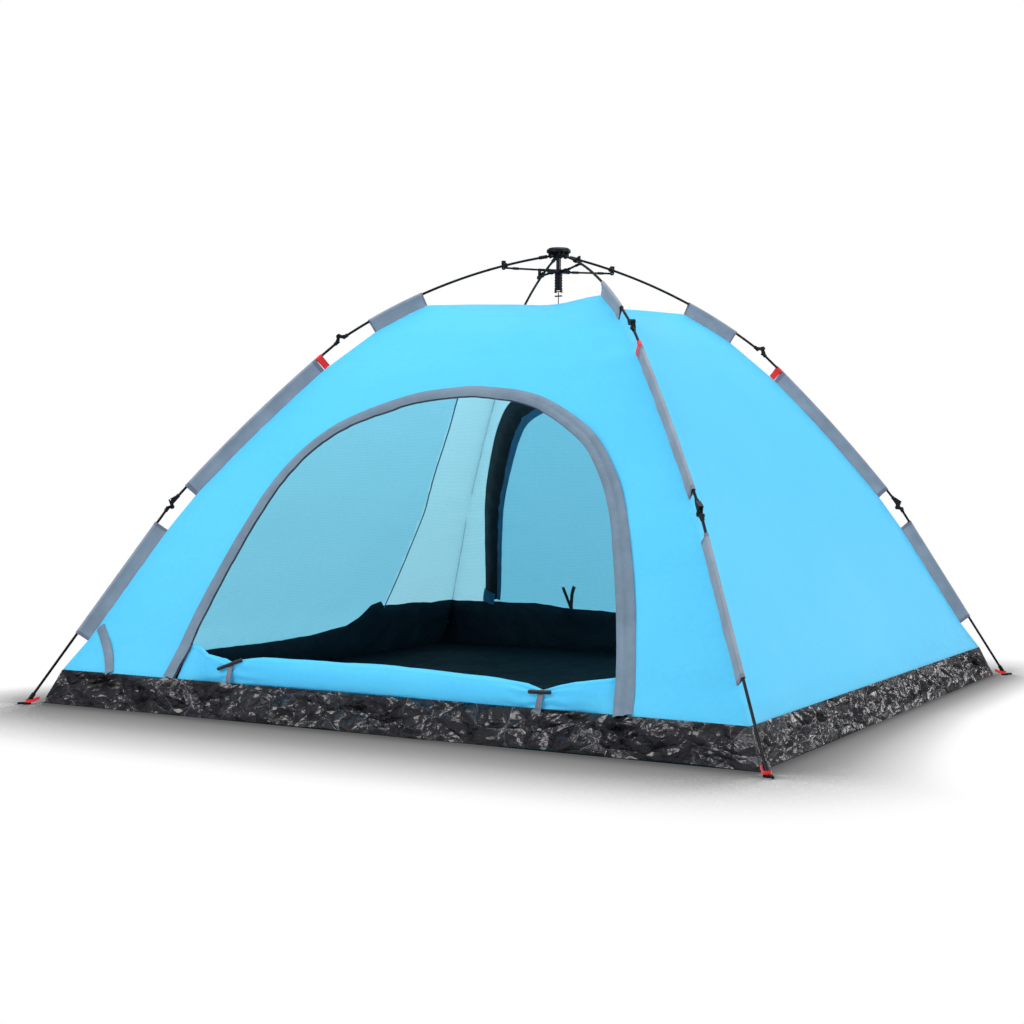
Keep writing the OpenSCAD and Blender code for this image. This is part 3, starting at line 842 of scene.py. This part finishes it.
# ---- pole sleeves: grey bands from the rods to the cabin corners ----
def sleeve(name, body, leg, p, q, bow, s0, s1, node, mat, hem=True):
    """Band folded round a rod from share s0 to s1 of its line, open towards the cabin."""
    n, ring, flat = (40 if hem else 8), 8, 5
    out = leg_frame(leg)
    side_dir = np.array([-out[1], out[0], 0])
    length = np.linalg.norm(q - p)
    seed = 1.0 + SIGN[leg][0] + 3 * SIGN[leg][1]
    verts, uv = [], []
    for i in range(n):
        t = s0 + (s1 - s0) * i / (n - 1)
        axis = bowed(p, q, bow, t, 0)
        deep = bowed(p, q, bow, t, 0.041)
        d = (deep - axis) / np.linalg.norm(deep - axis)
        # profile: down one face, round the rod, back up the other face
        prof = []
        for k in range(flat):
            f = 1 - k / flat
            prof.append((0.0355 * f + 0.004, 0.0012 + 0.003 * (1 - f) ** 2))
        for k in range(ring + 1):
            a = math.radians(60 + 240 * k / ring)
            prof.append((0.0066 * math.cos(a), 0.0066 * math.sin(a)))
        for k in range(flat):
            f = (k + 1) / flat
            prof.append((0.0355 * f + 0.004, -0.0012 - 0.003 * (1 - f) ** 2))
        for deep_m, side_m in prof:
            w = 0.0022 * fbm((t * 30, deep_m * 60, 0.3), 0.5, seed) * min(1, max(deep_m, 0) / 0.02)
            rz = axis + d * deep_m
            verts.append(out * rz[0] + side_dir * (side_m + w) + np.array([0, 0, rz[1]]))
            uv.append((t * length, deep_m))
    m = len(prof)
    o = make(name, verts, grid_faces(m, n), mat, uv=uv)
    if hem:
        o.data.materials.append(HEM)
        for j in (0, n - 2):
            for i in range(m - 1):
                o.data.polygons[j * (m - 1) + i].material_index = 1
    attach(o, body)
    mid = bowed(p, q, bow, (s0 + s1) / 2, 0)
    dd = bowed(p, q, bow, (s0 + s1) / 2, 0.04) - mid
    dd /= np.linalg.norm(dd)
    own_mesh(o)
    if node:
        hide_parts(node)
    return o


for leg in SIGN:
    sleeve(f"sleeve_upper_{leg}", f"upper_leg_{leg}", leg, PIVOT, ELBOW1, 0.040, 0.6, 0.86,
           f"upper_sleeve_{leg}", GREY)
    sleeve(f"sleeve_middle_{leg}", f"middle_leg_{leg}", leg, ELBOW1, ELBOW2, 0.013, 0.14, 0.9,
           f"middle_sleeve_{leg}", GREY)
    sleeve(f"sleeve_lower_{leg}", f"lower_leg_{leg}", leg, ELBOW2, FOOT, 0.0, 0.09, 0.65,
           f"lower_sleeve_{leg}", GREY)
    sleeve(f"pole_tab_{leg}", f"middle_leg_{leg}", leg, ELBOW1, ELBOW2, 0.013, 0.108, 0.137,
           "pole_tabs" if leg == "fl" else None, RED, hem=False)


# ---- red webbing loops from the foot of each pole to the tub corner ----
def corner_strap(leg):
    """Loop of webbing round the foot, seen in plan, with two skins."""
    out = leg_frame(leg)
    side_dir = np.array([-out[1], out[0], 0])
    path = [(1.658, 0.0015), (1.669, 0.0040), (1.681, 0.0080)]
    path += [(1.688 + 0.0098 * math.cos(a), 0.0098 * math.sin(a))
             for a in np.radians(np.linspace(110, -110, 12))]
    path += [(1.681, -0.0080), (1.669, -0.0040), (1.658, -0.0015)]
    line = smooth_line(path, 4)
    verts, rows = [], 7
    for skin in (0.0, 0.0016):
        for i, (r, y) in enumerate(line):
            d = line[min(i + 1, len(line) - 1)] - line[max(i - 1, 0)]
            nrm = np.array([d[1], -d[0]]) / np.linalg.norm(d)
            low = 0.006 + 0.014 * max(0, (1.680 - r) / 0.04)
            for k in range(rows):
                f = k / (rows - 1)
                q = np.array([r, y]) - nrm * skin
                verts.append(out * q[0] + side_dir * q[1] + np.array([0, 0, low + 0.009 * f]))
    n = len(line)
    faces = grid_faces(rows, n)
    faces += [tuple(reversed([v + n * rows for v in f])) for f in grid_faces(rows, n)]
    for i in range(n - 1):
        for k in (0, rows - 1):
            a, b = i * rows + k, (i + 1) * rows + k
            faces.append((a, b, b + n * rows, a + n * rows))
    o = make(f"corner_strap_{leg}", verts, faces, RED, uv=[(v[0] + v[1], v[2]) for v in verts])
    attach(o, f"lower_leg_{leg}")
    if leg == "fl":
        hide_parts("corner_straps")


for leg in SIGN:
    corner_strap(leg)

# ---- door panel rolled down onto the sill ----
ROLL_TOP = [(-0.68, 0.206), (-0.634, 0.198), (-0.568, 0.182), (-0.500, 0.172), (-0.466, 0.160),
            (-0.430, 0.172), (-0.36, 0.182), (0.09, 0.186), (0.41, 0.174), (0.50, 0.166),
            (0.553, 0.150), (0.60, 0.166), (0.646, 0.178), (0.737, 0.190), (0.79, 0.192)]
ROLL_DEPTH = [(-0.68, 0.003), (-0.60, 0.010), (-0.50, 0.017), (-0.466, 0.015), (-0.42, 0.022),
              (-0.30, 0.032), (0.0, 0.034), (0.45, 0.030), (0.53, 0.020), (0.553, 0.016),
              (0.58, 0.020), (0.68, 0.020), (0.76, 0.006), (0.79, 0.003)]
TIES = ((-0.466, 0.046, 20), (0.553, 0.033, 2))


def follow_sill(o, leg):
    """Fixes a piece on the sill to one of the front legs, which it follows when the frame folds."""
    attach(o, f"lower_leg_{leg}")
    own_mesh(o)


def roll_shape(x):
    """Height of the middle, half height, half depth and outward place of the roll at x."""
    top = np.interp(x, *zip(*ROLL_TOP))
    depth = np.interp(x, *zip(*ROLL_DEPTH))
    low = TUB_TOP - 0.006
    mid = (top + low) / 2
    return mid, (top - low) / 2, depth, panel_xz(0, x, mid)[1] - 0.004


def rolled_door():
    """Soft roll on the sill, pinched at the ties and flat at both ends."""
    n, m = 300, 56
    verts, uv = [], []
    for i in range(n):
        x = -0.672 + (0.785 + 0.672) * i / (n - 1)
        mid, high, depth, y = roll_shape(x)
        near = sum(math.exp(-((x - t[0]) / 0.075) ** 2) for t in TIES)
        at_end = max(0.0, min(1.0, max((-0.56 - x) / 0.07, (x - 0.67) / 0.07)))
        for k in range(m):
            a = 2 * math.pi * k / m
            p = (x, math.cos(a) * 0.05, math.sin(a) * 0.05)
            w = 1 + 0.10 * fbm(p, 7, 3.0, 3)
            w += 0.16 * near * math.sin(a * 8 + 3 * fbm(p, 9, 2.0))
            # overlapping edge of the rolled cloth, as a soft step along the front
            step = 0.003 * math.tanh(9 * math.sin(a + 0.9 + 0.25 * fbm(p, 3, 5.0)))
            ca, sa = math.cos(a), math.sin(a)
            soft = abs(sa) ** 0.85 * math.copysign(1, sa)
            z = max(mid + soft * high * (1 + 0.4 * (w - 1)), TUB_TOP - 0.008)
            # at both ends the roll opens into a sheet that lies behind the jamb tape
            y0 = y + at_end * (panel_xz(0, x, z)[1] + 0.010 - y)
            verts.append((x, y0 + ca * (depth * w + step), z))
            uv.append((x, high * a))
    faces = grid_faces(m, n, wrap=True)
    faces.append(tuple(range(m - 1, -1, -1)))
    faces.append(tuple((n - 1) * m + k for k in range(m)))
    normals = vertex_normals(verts, [f for f in faces if len(f) == 4])
    centre = np.array([np.mean([verts[v][0] for v in f]) for f in faces])
    for leg, keep in (("fl", centre < 0), ("fr", centre >= 0)):
        part = [f for f, k in zip(faces, keep) if k]
        used = sorted({i for f in part for i in f})
        index = {v: k for k, v in enumerate(used)}
        o = make(f"rolled_door_{leg}", np.array(verts)[used], [[index[i] for i in f] for f in part],
                 BLUE, uv=np.array(uv)[used])
        o.data.normals_split_custom_set_from_vertices([tuple(v) for v in normals[used]])
        follow_sill(o, leg)
        if leg == "fl":
            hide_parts("rolled_door")


def tube_mesh(line, radius, m=12):
    """Closed round bar along a 3D line with rounded ends."""
    line = np.asarray(line, float)
    n = len(line)
    verts = []
    for i in range(n):
        d = line[min(i + 1, n - 1)] - line[max(i - 1, 0)]
        d /= np.linalg.norm(d)
        a = np.cross(d, (0, 0, 1.0))
        a /= np.linalg.norm(a)
        b = np.cross(d, a)
        end = min(i, n - 1 - i)
        r = radius * (0.55, 0.9, 1.0)[min(end, 2)]
        for k in range(m):
            t = 2 * math.pi * k / m
            verts.append(line[i] + (a * math.cos(t) + b * math.sin(t)) * r)
    faces = grid_faces(m, n, wrap=True)
    return verts, faces + [tuple(range(m - 1, -1, -1)), tuple((n - 1) * m + k for k in range(m))]


def door_tie(leg, x, half, tilt):
    """Toggle bar and the webbing that pulls it down to the tub."""
    mid, high, depth, y = roll_shape(x)
    c, s = math.cos(math.radians(tilt)), math.sin(math.radians(tilt))
    centre = np.array([x, y - depth * 0.7 - 0.004, mid + high - 0.002])
    ends = [-1, -0.97, -0.9, -0.5, -0.15, 0, 0.15, 0.5, 0.9, 0.97, 1]
    verts, faces = tube_mesh([centre + np.array([c, 0.1 * s, s]) * half * e for e in ends], 0.0055)
    follow_sill(make(f"door_toggle_{leg}", verts, faces, BLACK_TAPE,
                     uv=[(v[0], v[2]) for v in verts]), leg)
    path = [(y + depth * 0.4, mid + high * 0.6), (y - 0.001, mid + high + 0.002),
            (y - depth * 0.8, mid + high * 0.8), (y - depth - 0.005, mid),
            (y - depth * 0.9 - 0.006, mid - high * 0.55),
            (y - depth * 0.5 - 0.007, TUB_TOP - 0.002),
            (y - depth * 0.4 - 0.012, TUB_TOP - 0.012)]
    line = smooth_line(path, 8)
    rows, wide = 7, 0.016
    verts = []
    for skin in (0, 0.0018):
        for i, (yy, zz) in enumerate(line):
            d = line[min(i + 1, len(line) - 1)] - line[max(i - 1, 0)]
            nrm = np.array([-d[1], d[0]]) / np.linalg.norm(d)
            for k in range(rows):
                f = k / (rows - 1) - 0.5
                curl = 0.0012 * math.cos(math.pi * f)
                q = np.array([yy, zz]) - nrm * (skin - curl)
                verts.append((x + f * wide + 0.004 * math.sin(i * 0.11), q[0], q[1]))
    n = len(line)
    faces = grid_faces(rows, n)
    faces += [tuple(reversed([v + n * rows for v in f])) for f in grid_faces(rows, n)]
    for i in range(n - 1):
        for k in (0, rows - 1):
            a, b = i * rows + k, (i + 1) * rows + k
            faces.append((a, b, b + n * rows, a + n * rows))
    o = make(f"door_tie_{leg}", verts, faces, STRAP_GREY, uv=[(v[0], v[2]) for v in verts])
    follow_sill(o, leg)
    if leg == "fl":
        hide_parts("door_ties")


rolled_door()
for leg, tie in zip(("fl", "fr"), TIES):
    door_tie(leg, *tie)

# ---- camera, light and floor ----
floor = make("studio_floor", [(-30, -30, 0), (30, -30, 0), (30, 30, 0), (-30, 30, 0)],
             [(0, 1, 2, 3)], None, smooth=False)
k = Nodes("studio_floor_white_painted_shadow")
seen = k.add("ShaderNodeLightPath")
# painted reflection: the floor is dark grey in glossy reflections and light grey elsewhere
k.set("Base Color", k.ramp(seen.outputs["Is Glossy Ray"], [(0.0, (0.72,) * 3), (1.0, (0.14,) * 3)]))
k.set("Roughness", k.math("ADD", k.math("MULTIPLY", k.noise(3, 2, 0.5), 0.05), 0.88))
k.set("Specular IOR Level", 0.1)
SHADOW_REACH = 0.7
AO_REACH = 2.5
CLEAR = (1.0, 1.0, 1.0, 1.0)
# painted soft shadow round the foot of the pitched tent, given as the floor's glow to the camera:
# it depends on the distance from the groundsheet and needs something standing close by, so it goes
# away when the tent is folded
near = k.add("ShaderNodeAmbientOcclusion", samples=16)
near.inputs["Distance"].default_value = AO_REACH
axes = k.add("ShaderNodeSeparateXYZ")
k.link(k.coord.outputs["Object"], axes.inputs[0])
ax, ay = (k.math("ABSOLUTE", axes.outputs[i]) for i in (0, 1))
out_x, out_y = (k.math("MAXIMUM", k.math("SUBTRACT", v, FLOOR_HALF), 0.0) for v in (ax, ay))
narrow = k.math("MINIMUM", k.math("MAXIMUM", k.math(
    "MULTIPLY_ADD", axes.outputs[1], 1.35, 2.92), 1.3), 3.0)
out_x = k.math("MULTIPLY", out_x, narrow)
away = k.math("SQRT", k.math("ADD", k.math("MULTIPLY", out_x, out_x),
                                k.math("MULTIPLY", out_y, out_y)))
painted_outer_shadow = k.ramp(k.math("DIVIDE", away, SHADOW_REACH), [
    (at / SHADOW_REACH, (v,) * 3) for at, v in (
        (0.0, 0.11), (0.07, 0.22), (0.15, 0.295), (0.22, 0.375), (0.32, 0.53), (0.39, 0.63),
        (0.50, 0.785), (0.59, 0.93), (0.66, 1.0))])
# looks from the floor towards the tent axis and upwards
towards = k.add("ShaderNodeVectorMath", operation="MULTIPLY")
k.link(k.coord.outputs["Object"], towards.inputs[0])
towards.inputs[1].default_value = (-1, -1, 0)
level = k.add("ShaderNodeVectorMath", operation="NORMALIZE")
k.link(towards.outputs[0], level.inputs[0])
tilted = k.add("ShaderNodeVectorMath", operation="ADD")
k.link(level.outputs[0], tilted.inputs[0])
tilted.inputs[1].default_value = (0, 0, 0.7)
aim = k.add("ShaderNodeVectorMath", operation="NORMALIZE")
k.link(tilted.outputs[0], aim.inputs[0])
facing = k.add("ShaderNodeAmbientOcclusion", samples=16)
facing.inputs["Distance"].default_value = AO_REACH
k.link(aim.outputs[0], facing.inputs["Normal"])
gate = k.ramp(facing.outputs["AO"], [(0.76, (1, 1, 1)), (0.88, (0, 0, 0))])
# painted contact shadow from ambient occlusion, under whatever stands on the floor
painted_contact_shadow = k.ramp(near.outputs["AO"], [(0.35, (0.10,) * 3), (0.7, (0.45,) * 3), (0.95, (1, 1, 1))])
within = k.ramp(k.math("SUBTRACT", k.math("MAXIMUM", ax, ay), 1.0),
                [(0.10, (1, 1, 1)), (0.16, (0, 0, 0))])
# to the camera the floor glows white, darkened by the painted shadows; other rays see the plain
# light floor
white = k.add("ShaderNodeEmission")
k.link(k.blend(within, k.blend(gate, CLEAR, painted_outer_shadow), painted_contact_shadow), white.inputs["Color"])
fade = k.add("ShaderNodeMixShader")
k.link(seen.outputs["Is Camera Ray"], fade.inputs[0])
k.link(k.bsdf.outputs[0], fade.inputs[1])
k.link(white.outputs[0], fade.inputs[2])
k.link(fade.outputs[0], k.out.inputs["Surface"])
floor.data.materials.append(k.mat)

cam_data = bpy.data.cameras.new("camera")
cam = bpy.data.objects.new("camera", cam_data)
bpy.context.scene.collection.objects.link(cam)
cam_data.sensor_width = 36
cam_data.lens = 57.03
cam_data.clip_end = 100
# found together with the frame: angles in radians, then the place
yaw, pitch, roll = -0.517, -0.0168, 0.0049
CAMERA_PLACE = (2.5426, -4.7772, 0.6796)
fwd = Vector((math.sin(yaw) * math.cos(pitch), math.cos(yaw) * math.cos(pitch), math.sin(pitch)))
right = Vector((math.cos(yaw), -math.sin(yaw), 0))
up = right.cross(fwd)
r2 = right * math.cos(roll) + up * math.sin(roll)
u2 = -right * math.sin(roll) + up * math.cos(roll)
rot = np.array([r2, u2, -fwd]).T
cam.matrix_world = Matrix.Translation(CAMERA_PLACE) @ Matrix(rot.tolist()).to_4x4()
bpy.context.scene.camera = cam


def area(name, place, target, size, power):
    """Round area light that faces target."""
    d = bpy.data.lights.new(name, "AREA")
    d.shape = "DISK"
    d.size = size
    d.energy = power
    o = bpy.data.objects.new(name, d)
    bpy.context.scene.collection.objects.link(o)
    o.location = place
    o.rotation_euler = (Vector(target) - Vector(place)).to_track_quat("-Z", "Y").to_euler()


area("light_key", (-2.5, -6.5, 6.0), (0, 0, 0.5), 5.0, 385)
area("light_top", (0.5, 1.5, 8.0), (0, 0, 0), 6.0, 255)
area("light_side", (7.0, -0.5, 3.5), (0, 0, 0.6), 3.0, 180)
area("light_rim", (5.0, 8.0, 2.2), (1.0, 0, 0.2), 3.0, 110)

# backdrop: plain white to the camera, brighter overhead than at the horizon for the object
world = bpy.data.worlds.new("studio")
world.use_nodes = True
tree = world.node_tree
bg = tree.nodes["Background"]
plain = tree.nodes.new("ShaderNodeBackground")
plain.inputs["Color"].default_value = (1, 1, 1, 1)
coord = tree.nodes.new("ShaderNodeTexCoord")
split = tree.nodes.new("ShaderNodeSeparateXYZ")
tree.links.new(coord.outputs["Generated"], split.inputs[0])
ramp = tree.nodes.new("ShaderNodeValToRGB")
ramp.color_ramp.elements[0].position = 0.05
ramp.color_ramp.elements[0].color = (0.42, 0.42, 0.43, 1)
ramp.color_ramp.elements[1].position = 0.75
ramp.color_ramp.elements[1].color = (1, 1, 1, 1)
tree.links.new(split.outputs[2], ramp.inputs[0])
tree.links.new(ramp.outputs[0], bg.inputs["Color"])
path = tree.nodes.new("ShaderNodeLightPath")
mix = tree.nodes.new("ShaderNodeMixShader")
dim = tree.nodes.new("ShaderNodeMath")
dim.operation = "MULTIPLY_ADD"
tree.links.new(path.outputs["Is Glossy Ray"], dim.inputs[0])
dim.inputs[1].default_value = -0.55
dim.inputs[2].default_value = 0.90
tree.links.new(dim.outputs[0], bg.inputs["Strength"])
tree.links.new(path.outputs["Is Camera Ray"], mix.inputs[0])
tree.links.new(bg.outputs[0], mix.inputs[1])
tree.links.new(plain.outputs[0], mix.inputs[2])
tree.links.new(mix.outputs[0], tree.nodes["World Output"].inputs["Surface"])
bpy.context.scene.world = world
bpy.context.scene.view_settings.view_transform = "Standard"
